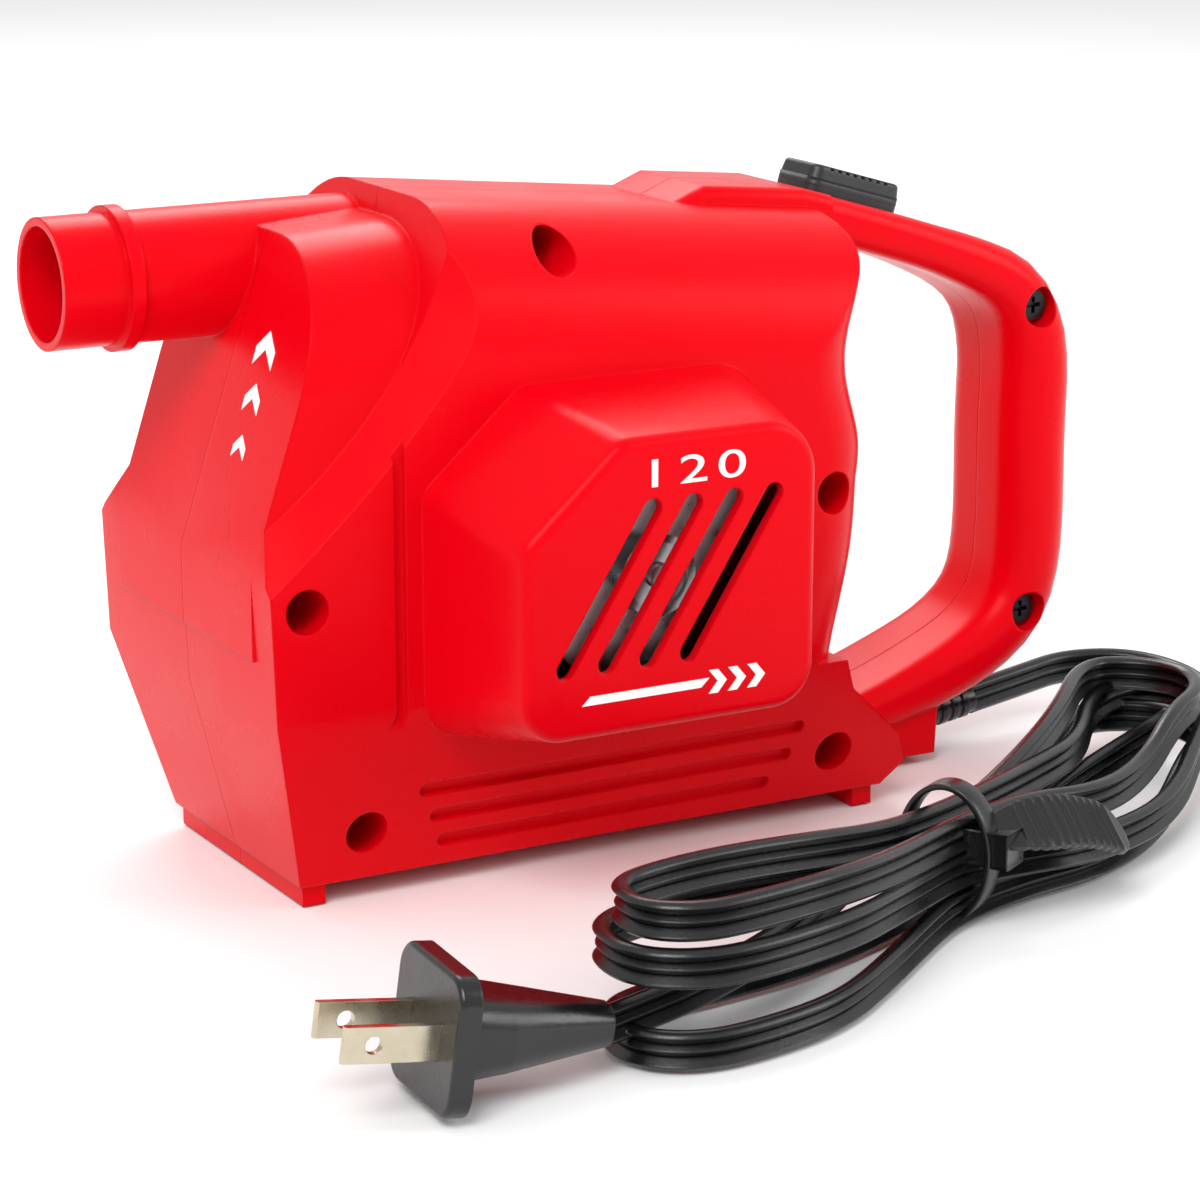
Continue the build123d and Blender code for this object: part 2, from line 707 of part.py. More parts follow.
# ---- motor ----
def bracket(depth, seat_start, seat_length, name):
    """End bracket: a strip with a bearing seat and holes for the long screws."""
    with BuildPart() as piece:
        with BuildSketch(side(depth)):
            with Locations((MOTOR_X, MOTOR_Z)):
                Circle(STATOR_RADIUS - 1.8)
                with Locations((-STATOR_RADIUS, 0), (STATOR_RADIUS, 0)):
                    Circle(9.5, mode=Mode.SUBTRACT)
        extrude(amount=BRACKET_THICKNESS)
        add(disc(MOTOR_X, MOTOR_Z, BEARING_SEAT_RADIUS, seat_start, seat_length))
        add(disc(MOTOR_X, MOTOR_Z, BEARING_RADIUS, seat_start - 1, seat_length + 2), mode=Mode.SUBTRACT)
        for offset_z in (-LONG_SCREW_Z, LONG_SCREW_Z):
            add(disc(MOTOR_X, MOTOR_Z + offset_z, SCREW_RADIUS + FIT, depth - 1, 5), mode=Mode.SUBTRACT)
        if depth == FRONT_BRACKET_DEPTH:
            for offset_x in (-FIXING_X, FIXING_X):
                add(disc(MOTOR_X + offset_x, MOTOR_Z, SCREW_RADIUS + FIT, depth - 1, 5), mode=Mode.SUBTRACT)
    save(piece, name)


LONG_SCREW_Z = 20.5
bracket(FRONT_BRACKET_DEPTH, FRONT_BRACKET_DEPTH, BRACKET_THICKNESS + BEARING_LENGTH, "front_bracket")
bracket(REAR_BRACKET_DEPTH, REAR_BRACKET_DEPTH, BRACKET_THICKNESS + 4, "rear_bracket")

for name, start in (("front_bearing", BRACKET_THICKNESS), ("rear_bearing", REAR_BRACKET_DEPTH)):
    with BuildPart() as bearing:
        add(ring(MOTOR_X, MOTOR_Z, BEARING_RADIUS, SHAFT_RADIUS + FIT, start, BEARING_LENGTH))
    save(bearing, name)

POLE_ARC = 62.0
STATOR_BORE = CORE_RADIUS + AIR_GAP
COIL_THICKNESS = 3.6
with BuildPart() as stator_core:
    with BuildSketch(side(CORE_START)):
        with Locations((MOTOR_X, MOTOR_Z)):
            Circle(STATOR_RADIUS)
            Circle(STATOR_RADIUS - 3.4, mode=Mode.SUBTRACT)
            for turn in (0, 180):
                with Locations(Location((0, 0), turn)):
                    with Locations(((STATOR_BORE + STATOR_RADIUS) / 2 - 0.8, 0)):
                        Rectangle(STATOR_RADIUS - STATOR_BORE, 20)
            Circle(STATOR_BORE, mode=Mode.SUBTRACT)
    extrude(amount=CORE_LENGTH)
    for offset_z in (-LONG_SCREW_Z, LONG_SCREW_Z):
        add(disc(MOTOR_X, MOTOR_Z + offset_z, 3.4, CORE_START, CORE_LENGTH))
    for offset_z in (-LONG_SCREW_Z, LONG_SCREW_Z):
        add(disc(MOTOR_X, MOTOR_Z + offset_z, SCREW_RADIUS + FIT, CORE_START - 1, CORE_LENGTH + 2), mode=Mode.SUBTRACT)
    add(disc(MOTOR_X, MOTOR_Z, STATOR_BORE, CORE_START - 1, CORE_LENGTH + 2), mode=Mode.SUBTRACT)
save(stator_core, "stator_core")

with BuildPart() as field_coils:
    for turn in (0, 180):
        with BuildSketch(side(CORE_START - COIL_OVERHANG + 0.6)):
            with Locations(Location((MOTOR_X, MOTOR_Z), turn)):
                with Locations((STATOR_BORE + 2.6, 0)):
                    RectangleRounded(3.6, 27.0, 1.2)
        extrude(amount=CORE_LENGTH + 2 * COIL_OVERHANG - 1.2)
    add(stator_core.part, mode=Mode.SUBTRACT)
    with BuildSketch(side(CORE_START - 8)):
        with Locations((MOTOR_X, MOTOR_Z)):
            Circle(STATOR_BORE + 0.2)
    extrude(amount=CORE_LENGTH + 16, mode=Mode.SUBTRACT)
save(field_coils, "field_coils")

SCREW_TOP = REAR_BRACKET_DEPTH + BRACKET_THICKNESS
with BuildPart() as motor_screws:
    for offset_z in (-LONG_SCREW_Z, LONG_SCREW_Z):
        add(disc(MOTOR_X, MOTOR_Z + offset_z, SCREW_RADIUS, FRONT_BRACKET_DEPTH, SCREW_TOP))
        add(disc(MOTOR_X, MOTOR_Z + offset_z, SCREW_HEAD_RADIUS, SCREW_TOP, SCREW_HEAD_HEIGHT))
save(motor_screws, "motor_screws")

with BuildPart() as motor_spacers:
    for offset_z in (-LONG_SCREW_Z, LONG_SCREW_Z):
        for start, end in (
            (FRONT_BRACKET_DEPTH + BRACKET_THICKNESS, CORE_START),
            (CORE_START + CORE_LENGTH, REAR_BRACKET_DEPTH),
        ):
            add(ring(MOTOR_X, MOTOR_Z + offset_z, 2.6, SCREW_RADIUS + FIT, start, end - start))
save(motor_spacers, "motor_spacers")

# ---- rotor ----
SHAFT_START = -IMPELLER_DEPTH - 3
SHAFT_END = REAR_BRACKET_DEPTH + BEARING_LENGTH + 1.0
with BuildPart() as motor_shaft:
    add(disc(MOTOR_X, MOTOR_Z, SHAFT_RADIUS, SHAFT_START, SHAFT_END - SHAFT_START))
    chamfer(motor_shaft.edges().filter_by(GeomType.CIRCLE), 0.4)
save(motor_shaft, "motor_shaft")

SLOT_TEETH = 12
with BuildPart() as armature_core:
    with BuildSketch(side(CORE_START)):
        with Locations((MOTOR_X, MOTOR_Z)):
            Circle(CORE_RADIUS)
            Circle(SHAFT_RADIUS, mode=Mode.SUBTRACT)
            with PolarLocations(CORE_RADIUS - 3.4, SLOT_TEETH):
                Circle(2.2, mode=Mode.SUBTRACT)
            with PolarLocations(CORE_RADIUS - 0.8, SLOT_TEETH):
                Rectangle(2.4, 1.6, mode=Mode.SUBTRACT)
    extrude(amount=CORE_LENGTH)
save(armature_core, "armature_core")

with BuildPart() as armature_windings:
    for start in (CORE_START - COIL_OVERHANG, CORE_START + CORE_LENGTH):
        add(ring(MOTOR_X, MOTOR_Z, CORE_RADIUS - 1.6, SHAFT_RADIUS, start, COIL_OVERHANG))
    fillet(armature_windings.edges().filter_by(GeomType.CIRCLE).filter_by(lambda e: e.radius > 9), 1.6)
    with BuildSketch(side(CORE_START)):
        with Locations((MOTOR_X, MOTOR_Z)):
            with PolarLocations(CORE_RADIUS - 3.4, SLOT_TEETH):
                Circle(2.1)
    extrude(amount=CORE_LENGTH)
save(armature_windings, "armature_windings")

BAR_COUNT = 24
with BuildPart() as commutator:
    add(ring(MOTOR_X, MOTOR_Z, COMMUTATOR_RADIUS, SHAFT_RADIUS, COMMUTATOR_START, COMMUTATOR_LENGTH))
    with BuildSketch(side(COMMUTATOR_START)):
        with Locations((MOTOR_X, MOTOR_Z)):
            with PolarLocations(COMMUTATOR_RADIUS, BAR_COUNT):
                Rectangle(1.4, 0.5)
    extrude(amount=COMMUTATOR_LENGTH, mode=Mode.SUBTRACT)
save(commutator, "commutator")

COOLING_START = BRACKET_THICKNESS + BEARING_LENGTH + 1.0
COOLING_LENGTH = 5.0
with BuildPart() as cooling_fan:
    add(ring(MOTOR_X, MOTOR_Z, 6.0, SHAFT_RADIUS, COOLING_START, COOLING_LENGTH))
    add(ring(MOTOR_X, MOTOR_Z, 16.5, 5.0, COOLING_START, 1.2))
    with BuildSketch(side(COOLING_START)):
        with Locations((MOTOR_X, MOTOR_Z)):
            with PolarLocations(11.0, 8):
                Rectangle(10.6, 1.2)
    extrude(amount=COOLING_LENGTH)
save(cooling_fan, "cooling_fan")

HUB_RADIUS = 7.0
EYE_RADIUS = 15.0
IMPELLER_SHEET = 1.5
with BuildPart() as impeller:
    add(disc(MOTOR_X, MOTOR_Z, IMPELLER_RADIUS, -IMPELLER_BACK - IMPELLER_SHEET, IMPELLER_SHEET))
    add(disc(MOTOR_X, MOTOR_Z, HUB_RADIUS, -IMPELLER_DEPTH + 5, IMPELLER_DEPTH - 5 - IMPELLER_BACK))
    add(ring(MOTOR_X, MOTOR_Z, IMPELLER_RADIUS, EYE_RADIUS, -IMPELLER_DEPTH, IMPELLER_SHEET))
    with BuildSketch(side(-IMPELLER_DEPTH)) as blades:
        with BuildSketch(mode=Mode.PRIVATE) as blade:
            with BuildLine():
                outer = ThreePointArc((EYE_RADIUS - 2, 0.8), (25.0, 6.4), (IMPELLER_RADIUS - 4.5, 16.6))
                inner = ThreePointArc((IMPELLER_RADIUS - 3.7, 15.3), (25.6, 5.1), (EYE_RADIUS - 2, -0.6))
                Line(outer @ 1, inner @ 0)
                Line(inner @ 1, outer @ 0)
            make_face()
        with Locations((MOTOR_X, MOTOR_Z)):
            with PolarLocations(0, BLADE_COUNT):
                add(blade.sketch)
    extrude(amount=IMPELLER_DEPTH - IMPELLER_BACK)
    add(disc(MOTOR_X, MOTOR_Z, SHAFT_RADIUS, -IMPELLER_DEPTH - 1, IMPELLER_DEPTH), mode=Mode.SUBTRACT)
save(impeller, "impeller")

NUT_FLATS = 8.0
with BuildPart() as impeller_nut:
    with BuildSketch(side(-IMPELLER_DEPTH + 1.6)):
        with Locations((MOTOR_X, MOTOR_Z)):
            RegularPolygon(NUT_FLATS / 2, 6, major_radius=False)
            Circle(SHAFT_RADIUS, mode=Mode.SUBTRACT)
    extrude(amount=3.4)
save(impeller_nut, "impeller_nut")


# ---- brush gear ----
def block(x_from, x_to, z_from, z_to, depth_from, depth_to):
    """Plain box by its limits in the casing's x and z and in depth."""
    with BuildPart() as part:
        with BuildSketch(side(depth_from)):
            with Locations(((x_from + x_to) / 2, (z_from + z_to) / 2)):
                Rectangle(x_to - x_from, z_to - z_from)
        extrude(amount=depth_to - depth_from)
    return part.part


BRUSH_SIZE = 5.0
BRUSH_LENGTH = 8.5
HOLDER_WALL = 1.4
HOLDER_START = COMMUTATOR_RADIUS + 2.0
HOLDER_LENGTH = 13.0
BRUSH_DEPTH = COMMUTATOR_START + COMMUTATOR_LENGTH / 2
brush_front = COMMUTATOR_RADIUS + CLEARANCE + FIT
holder_half = BRUSH_SIZE / 2 + HOLDER_WALL
tunnel_half = BRUSH_SIZE / 2 + FIT
holder_end = HOLDER_START + HOLDER_LENGTH
spring_start = brush_front + BRUSH_LENGTH
spring_length = holder_end - HOLDER_WALL - spring_start


def brush_pair(start, length, half, depth_from, depth_to):
    """Two boxes, one on each side of the motor's axis, from a distance and on outwards."""
    with BuildPart() as pair:
        add(block(MOTOR_X + start, MOTOR_X + start + length, MOTOR_Z - half, MOTOR_Z + half, depth_from, depth_to))
        add(block(MOTOR_X - start - length, MOTOR_X - start, MOTOR_Z - half, MOTOR_Z + half, depth_from, depth_to))
    return pair.part


with BuildPart() as brush_holders:
    add(brush_pair(HOLDER_START, HOLDER_LENGTH, holder_half, BRUSH_DEPTH - holder_half, REAR_BRACKET_DEPTH))
    add(
        brush_pair(HOLDER_START - 1, HOLDER_LENGTH + 1 - HOLDER_WALL, tunnel_half, BRUSH_DEPTH - tunnel_half, BRUSH_DEPTH + tunnel_half),
        mode=Mode.SUBTRACT,
    )
save(brush_holders, "brush_holders")

with BuildPart() as carbon_brushes:
    add(brush_pair(brush_front, BRUSH_LENGTH, BRUSH_SIZE / 2, BRUSH_DEPTH - BRUSH_SIZE / 2, BRUSH_DEPTH + BRUSH_SIZE / 2))
save(carbon_brushes, "carbon_brushes")

SPRING_RADIUS = 1.9
SPRING_WIRE = 0.3
with BuildPart() as brush_springs:
    for way in (-1, 1):
        start = place(MOTOR_X + way * (spring_start + SPRING_WIRE), -BRUSH_DEPTH, MOTOR_Z)
        with BuildLine() as coil:
            Helix(1.1, spring_length - 2 * SPRING_WIRE, SPRING_RADIUS, center=start, direction=(way, 0, 0))
        with BuildSketch(Plane(origin=coil.line @ 0, z_dir=coil.line % 0)):
            Circle(SPRING_WIRE)
        sweep(path=coil.line)
save(brush_springs, "brush_springs")

# ---- switch ----
with BuildPart() as switch_button:
    with BuildSketch(beam.offset(BUTTON_LIFT)):
        RectangleRounded(BUTTON_LENGTH, BUTTON_WIDTH, 3.0)
    extrude(amount=BUTTON_HEIGHT, taper=9)
    fillet(switch_button.faces().sort_by(Axis.Z)[-1].edges(), 1.0)
    with BuildSketch(beam.offset(BUTTON_LIFT + BUTTON_HEIGHT - 0.9)):
        with GridLocations(2.0, 1, 8, 1):
            Rectangle(0.9, BUTTON_WIDTH)
    extrude(amount=2, mode=Mode.SUBTRACT)
    with BuildSketch(beam.offset(-WALL - 0.9)):
        RectangleRounded(STEM_LENGTH, STEM_WIDTH, 1.5)
    extrude(amount=WALL + 0.9 + BUTTON_LIFT)
save(switch_button, "switch_button")

TAB_HALF = 3.5
with BuildPart() as switch_slider:
    with BuildSketch(Plane(origin=beam.origin, x_dir=beam_along, z_dir=(0, -1, 0))):
        with BuildLine():
            Polyline(
                (STEM_LENGTH / 2, -WALL - 0.9),
                (-15, -WALL - 0.9),
                (-18.5, -5.0),
                (-18.5, -12.0),
                (-15.5, -12.0),
                (-15.5, -6.2),
                (-14, -WALL - 2.1),
                (STEM_LENGTH / 2, -WALL - 2.1),
                (STEM_LENGTH / 2, -WALL - 0.9),
            )
        make_face()
    extrude(amount=TAB_HALF, both=True)
save(switch_slider, "switch_slider")

SWITCH_BOTTOM = 106.0
SWITCH_FRONT = 102.0
with BuildPart() as switch_body:
    add(block(SWITCH_FRONT, 120, SWITCH_BOTTOM, 120, -SWITCH_HALF, SWITCH_HALF))
    fillet(switch_body.edges().filter_by(Axis.Z), 0.8)
    add(block(112.5, 121, 116.4, 121, -TAB_HALF - 0.8, TAB_HALF + 0.8), mode=Mode.SUBTRACT)
save(switch_body, "switch_body")

with BuildPart() as switch_terminals:
    for offset in (-4.5, 4.5):
        add(block(SWITCH_FRONT + 4.5, SWITCH_FRONT + 9.3, SWITCH_BOTTOM - 7, SWITCH_BOTTOM, offset - 0.4, offset + 0.4))
save(switch_terminals, "switch_terminals")

# ---- cord's sleeve ----
RELIEF_LENGTH = 17.5
with BuildPart() as strain_relief:
    with BuildSketch(cord_exit.offset(-WALL - 3.0)):
        with Locations((0, 0.7)):
            RectangleRounded(12, 4.8, 1)
    extrude(amount=2.2)
    with BuildSketch(cord_exit.offset(-WALL - 1)):
        Circle(RELIEF_RADIUS)
    extrude(amount=WALL + 2)
    with BuildSketch(cord_exit.offset(0.9)):
        Circle(RELIEF_RADIUS)
    with BuildSketch(cord_exit.offset(RELIEF_LENGTH)):
        Circle(CORD_RADIUS + 0.5)
    loft()
    for index in range(5):
        with BuildSketch(cord_exit.offset(2.2 + index * 2.9)):
            Circle(RELIEF_RADIUS + 0.3 - 0.1 * index)
        extrude(amount=1.5)
save(strain_relief, "strain_relief")

# ---- casing screws ----
with BuildPart() as housing_screws:
    for x, z, floor in SCREWS.values():
        add(disc(x, z, SCREW_RADIUS, -SCREW_GRIP + 1, SCREW_GRIP - 1 + floor))
        add(disc(x, z, SCREW_HEAD_RADIUS, floor, SCREW_HEAD_HEIGHT))
        with BuildSketch(side(floor + SCREW_HEAD_HEIGHT)):
            with Locations((x, z)):
                Rectangle(3.6, 0.9)
                Rectangle(0.9, 3.6)
        extrude(amount=-1.2, mode=Mode.SUBTRACT)
save(housing_screws, "housing_screws")

# ---- cord: lead, bundled hank, plug lead ----
relief_tip = cord_exit.offset(RELIEF_LENGTH).origin
LEAD_ROUTE = [
    (193, 1, 10.5),
    (208, 5, 11),
    (222, -1, 11),
    (229, -15, 10),
    (226, -30, 9.5),
    (214, -39, 9.2),
    (203, -40, 9),
]
lead_points = [relief_tip] + [place(*point) for point in LEAD_ROUTE]


def arc_radii(points):
    """Bend radius at each inner point, so that neighbouring arcs leave straight runs between them."""
    radii = []
    for before, here, after in zip(points, points[1:], points[2:]):
        turn = (here - before).get_angle(after - here)
        shorter = min((here - before).length, (after - here).length)
        radii.append(0.45 * shorter / math.tan(math.radians(turn / 2)))
    return radii


lead_radii = arc_radii(lead_points)
print("cord lead bend radii, mm:", [round(radius, 1) for radius in lead_radii])
with BuildPart() as lead_tube:
    with BuildLine() as lead_line:
        FilletPolyline(*lead_points, radius=lead_radii)
    with BuildSketch(Plane(origin=lead_line.line @ 0, z_dir=lead_line.line % 0)):
        Circle(CORD_RADIUS)
    sweep(path=lead_line.line)
    add(strain_relief.part, mode=Mode.SUBTRACT)

# Hank stations: x, y, width, height and how far the lowest strand is off the floor.
HANK_STATIONS = [
    (20, -128.9, 16, 16, 0),
    (25, -128, 28, 27, 0),
    (33, -126, 34, 31, 0),
    (55, -121, 34, 31, 0),
    (85, -109, 22, 26, 0),
    (101, -100.5, 20, 24, 2.4),
    (109, -96, 20, 24, 2.4),
    (130, -84, 26, 24, 0),
    (165, -62, 42, 26, 0),
    (190, -46, 38, 26, 0),
    (203, -40, 18, 18, 0),
]
with BuildPart() as cord_hank:
    for index, (x, y, width, height, lift) in enumerate(HANK_STATIONS):
        ahead = HANK_STATIONS[min(index + 1, len(HANK_STATIONS) - 1)]
        behind = HANK_STATIONS[max(index - 1, 0)]
        facing = (ahead[0] - behind[0], ahead[1] - behind[1], 0)
        if index == len(HANK_STATIONS) - 1:
            facing = (LEAD_ROUTE[-2][0] - x, LEAD_ROUTE[-2][1] - y, 0)
        with BuildSketch(Plane(origin=place(x, y, lift + height / 2), x_dir=(-facing[1], facing[0], 0), z_dir=facing)):
            Ellipse(width / 2, height / 2)
    loft(ruled=True)
save(cord_hank, "cord_hank")

with BuildPart() as cord_lead:
    add(lead_tube.part)
    add(cord_hank.part, mode=Mode.SUBTRACT)
save(cord_lead, "cord_lead")

TIE_WIDTH = 5.0
with BuildPart() as cord_tie:
    with BuildSketch(Plane(origin=place(105, -98.25, 14.4), x_dir=(-4.5, 8, 0), z_dir=(8, 4.5, 0)).offset(-TIE_WIDTH / 2)):
        Ellipse(11.4, 13.4)
    extrude(amount=TIE_WIDTH)
    add(cord_hank.part, mode=Mode.SUBTRACT)
save(cord_tie, "cord_tie")

# ---- plug ----
PLUG_TURN = -4.0
PLUG_TILT = 8.0
PLUG_LENGTH = 34.0
PLUG_WIDTH = 27.0
PLUG_HEIGHT = 25.0
FLANGE_THICKNESS = 4.0
BLADE_LENGTH = 17.5
BLADE_SPACING = 12.7
BLADE_WIDTH = 6.35
BLADE_THICKNESS = 1.5
turn = math.radians(PLUG_TURN)
tilt = math.radians(PLUG_TILT)
plug_axis = Vector(math.cos(turn) * math.cos(tilt), math.sin(turn) * math.cos(tilt), -math.sin(tilt))
plug_face = Plane(
    origin=place(-23.5, -128.5, 13.6), x_dir=(-math.sin(turn), math.cos(turn), 0), z_dir=tuple(plug_axis)
)
with BuildPart() as plug_blades:
    with BuildSketch(plug_face.offset(-BLADE_LENGTH)):
        with GridLocations(BLADE_SPACING, 1, 2, 1):
            Rectangle(BLADE_THICKNESS, BLADE_WIDTH)
    extrude(amount=BLADE_LENGTH + 6)
    tips = plug_blades.faces().sort_by(Axis(plug_face.origin, plug_axis))[:2]
    chamfer(tips.edges().filter_by(lambda edge: edge.length > 2), 0.4)
    with BuildSketch(Plane(origin=plug_face.origin - plug_axis * 12, x_dir=tuple(plug_axis), z_dir=tuple(plug_face.x_dir))):
        Circle(1.6)
    extrude(amount=BLADE_SPACING, both=True, mode=Mode.SUBTRACT)
save(plug_blades, "plug_blades")

with BuildPart() as plug_body:
    with BuildSketch(plug_face):
        RectangleRounded(PLUG_WIDTH, PLUG_HEIGHT, 5)
    extrude(amount=FLANGE_THICKNESS)
    fillet(plug_body.faces().sort_by(Axis(plug_face.origin, plug_axis))[0].edges(), 1.0)
    with BuildSketch(plug_face.offset(FLANGE_THICKNESS)):
        RectangleRounded(21, 15, 5)
    with BuildSketch(plug_face.offset(FLANGE_THICKNESS + 9)):
        RectangleRounded(19, 13, 5)
    loft()
    with BuildSketch(plug_face.offset(FLANGE_THICKNESS + 9)):
        RectangleRounded(19, 13, 5)
    with BuildSketch(plug_face.offset(PLUG_LENGTH)):
        RectangleRounded(8.6, 7.6, 3.5)
    loft()
    add(plug_blades.part, mode=Mode.SUBTRACT)
save(plug_body, "plug_body")

with BuildPart() as plug_lead:
    tail = plug_face.offset(PLUG_LENGTH).origin
    with BuildLine() as tail_line:
        Line(tail, place(20, -128.9, 8))
    with BuildSketch(Plane(origin=tail, z_dir=tail_line.line % 0)):
        Circle(CORD_RADIUS)
    sweep(path=tail_line.line)
    add(plug_body.part, mode=Mode.SUBTRACT)
    add(cord_hank.part, mode=Mode.SUBTRACT)
save(plug_lead, "plug_lead")
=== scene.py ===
import json
import math

import bpy
from mathutils import Matrix, Vector

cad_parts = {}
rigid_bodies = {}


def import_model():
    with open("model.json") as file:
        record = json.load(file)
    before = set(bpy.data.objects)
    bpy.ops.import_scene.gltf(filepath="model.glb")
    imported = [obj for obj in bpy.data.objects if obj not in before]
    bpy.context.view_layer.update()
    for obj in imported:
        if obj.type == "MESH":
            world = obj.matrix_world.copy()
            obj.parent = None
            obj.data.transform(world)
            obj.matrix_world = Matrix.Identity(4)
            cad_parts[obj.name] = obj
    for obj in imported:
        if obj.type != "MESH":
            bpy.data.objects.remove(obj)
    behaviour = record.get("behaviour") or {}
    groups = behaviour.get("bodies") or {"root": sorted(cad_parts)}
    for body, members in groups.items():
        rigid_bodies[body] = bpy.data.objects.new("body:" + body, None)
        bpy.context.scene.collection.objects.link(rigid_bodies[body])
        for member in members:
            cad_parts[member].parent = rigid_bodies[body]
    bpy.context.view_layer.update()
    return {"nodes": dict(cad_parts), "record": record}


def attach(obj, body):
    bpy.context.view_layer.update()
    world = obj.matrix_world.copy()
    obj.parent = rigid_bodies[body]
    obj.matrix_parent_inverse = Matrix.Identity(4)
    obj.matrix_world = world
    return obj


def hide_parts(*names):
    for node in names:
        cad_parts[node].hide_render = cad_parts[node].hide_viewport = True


# Looks for the electric air mattress pump. Metres, +Z up, nozzle at -X, handle at +X, motor cover at -Y.
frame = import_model()
nodes = frame["nodes"]
baseFront = Vector((-0.08175, 0.01115, 0))  # front edge of the base, on the line where the casing halves meet
print("frame loaded:", len(nodes), "nodes")


def spot(x, y, z):
    return baseFront + Vector((x, y, z)) / 1000


# camera
camera = {"place": (-0.36001, -0.62754, 0.24119), "turn": -29.51, "dip": 15.03, "lens": 108.67}
bpy.ops.object.select_all(action="DESELECT")
bpy.ops.object.camera_add(
    location=camera["place"],
    rotation=(math.radians(90 - camera["dip"]), 0, math.radians(camera["turn"])),
)
eye = bpy.context.object
eye.data.lens = camera["lens"]
eye.data.sensor_width = 36
eye.data.clip_start = 0.01
bpy.context.scene.camera = eye


# colours and nodes
def linear(hexColour):
    parts = [int(hexColour[i:i + 2], 16) / 255 for i in (1, 3, 5)]
    return [p / 12.92 if p <= 0.04045 else ((p + 0.055) / 1.055) ** 2.4 for p in parts] + [1.0]


def addNode(material, kind, settings=None, links=None):
    tree = material.node_tree
    node = tree.nodes.new(kind)
    for key, value in (settings or {}).items():
        if key in node.inputs:
            node.inputs[key].default_value = value
        else:
            setattr(node, key, value)
    for socket, source in (links or {}).items():
        tree.links.new(source, node.inputs[socket])
    return node


def newMaterial(name, shader):
    material = bpy.data.materials.new(name)
    material.use_nodes = True
    material.node_tree.nodes.clear()
    surface = addNode(material, "ShaderNodeBsdfPrincipled", shader)
    addNode(material, "ShaderNodeOutputMaterial", links={"Surface": surface.outputs["BSDF"]})
    where = addNode(material, "ShaderNodeTexCoord")
    return material, surface, where.outputs["Object"]


def addRoughness(material, surface, position, scale, low, high):
    grain = addNode(material, "ShaderNodeTexNoise", {"Scale": scale, "Detail": 3.0}, {"Vector": position})
    spread = addNode(
        material, "ShaderNodeMapRange",
        {"From Min": 0.3, "From Max": 0.7, "To Min": low, "To Max": high}, {"Value": grain.outputs["Fac"]},
    )
    material.node_tree.links.new(spread.outputs["Result"], surface.inputs["Roughness"])


def addGrain(material, surface, position, scale, distance, edge=0.0):
    grain = addNode(material, "ShaderNodeTexNoise", {"Scale": scale, "Detail": 2.0}, {"Vector": position})
    bump = addNode(
        material, "ShaderNodeBump", {"Strength": 1.0, "Distance": distance}, {"Height": grain.outputs["Fac"]}
    )
    if edge:
        soft = addNode(material, "ShaderNodeBevel", {"Radius": edge, "samples": 6})
        material.node_tree.links.new(soft.outputs["Normal"], bump.inputs["Normal"])
    material.node_tree.links.new(bump.outputs["Normal"], surface.inputs["Normal"])


def addTint(material, surface, position, scale, first, second):
    cloud = addNode(material, "ShaderNodeTexNoise", {"Scale": scale, "Detail": 2.0}, {"Vector": position})
    mix = addNode(
        material, "ShaderNodeMix", {"data_type": "RGBA"}, {"Factor": cloud.outputs["Fac"]}
    )
    mix.inputs[6].default_value = linear(first)
    mix.inputs[7].default_value = linear(second)
    material.node_tree.links.new(mix.outputs[2], surface.inputs["Base Color"])


# ABS, injection moulded in a polished tool: a deep even red with a broad satin gleam, and soft moulded edges.
# The specular level is lower than ABS has and tinted, so that the red stays saturated in white light
redAbs, skin, place = newMaterial(
    "red moulded ABS", {"IOR": 1.53, "Specular IOR Level": 0.16, "Specular Tint": linear("#FF9C94")}
)
addTint(redAbs, skin, place, 18, "#D6000F", "#DE0114")
addRoughness(redAbs, skin, place, 45, 0.24, 0.33)
addGrain(redAbs, skin, place, 1400, 0.000012, 0.0007)  # fine spark-eroded grain, and edges softened by 0.7 mm

# ABS, moulded in a textured tool: near black, fine and dull
blackAbs, skin, place = newMaterial("black textured ABS", {"IOR": 1.53})
addTint(blackAbs, skin, place, 60, "#141416", "#1D1D20")
addRoughness(blackAbs, skin, place, 90, 0.34, 0.48)
addGrain(blackAbs, skin, place, 1500, 0.00003, 0.0004)

# plasticised PVC, moulded or extruded: black with a soft oily sheen
blackPvc, skin, place = newMaterial(
    "black soft PVC", {"IOR": 1.52, "Coat Weight": 0.12, "Coat Roughness": 0.3}
)
addTint(blackPvc, skin, place, 40, "#08080A", "#101013")
addRoughness(blackPvc, skin, place, 70, 0.22, 0.34)
addGrain(blackPvc, skin, place, 900, 0.00004, 0.0005)

# brass stamped and nickel plated: warm pale metal with rubbed faces
platedBrass, skin, place = newMaterial("nickel-plated brass", {"Metallic": 1.0})
addTint(platedBrass, skin, place, 160, "#B9AE96", "#D6CDB8")
addRoughness(platedBrass, skin, place, 220, 0.18, 0.34)
addGrain(platedBrass, skin, place, 2600, 0.000012, 0.0002)

# pad-printed ink: flat white with a dry surface
whiteInk, skin, place = newMaterial("white pad-print ink", {"IOR": 1.48})
addTint(whiteInk, skin, place, 120, "#EDEDEB", "#FAFAF8")
addRoughness(whiteInk, skin, place, 500, 0.45, 0.6)
addGrain(whiteInk, skin, place, 3000, 0.000008)

# glass-filled nylon, moulded: dark grey with a dull fibrous grain
greyNylon, skin, place = newMaterial("grey glass-filled nylon", {"IOR": 1.53})
addTint(greyNylon, skin, place, 70, "#2C2D30", "#3A3B3E")
addRoughness(greyNylon, skin, place, 160, 0.45, 0.6)
addGrain(greyNylon, skin, place, 1200, 0.00004)

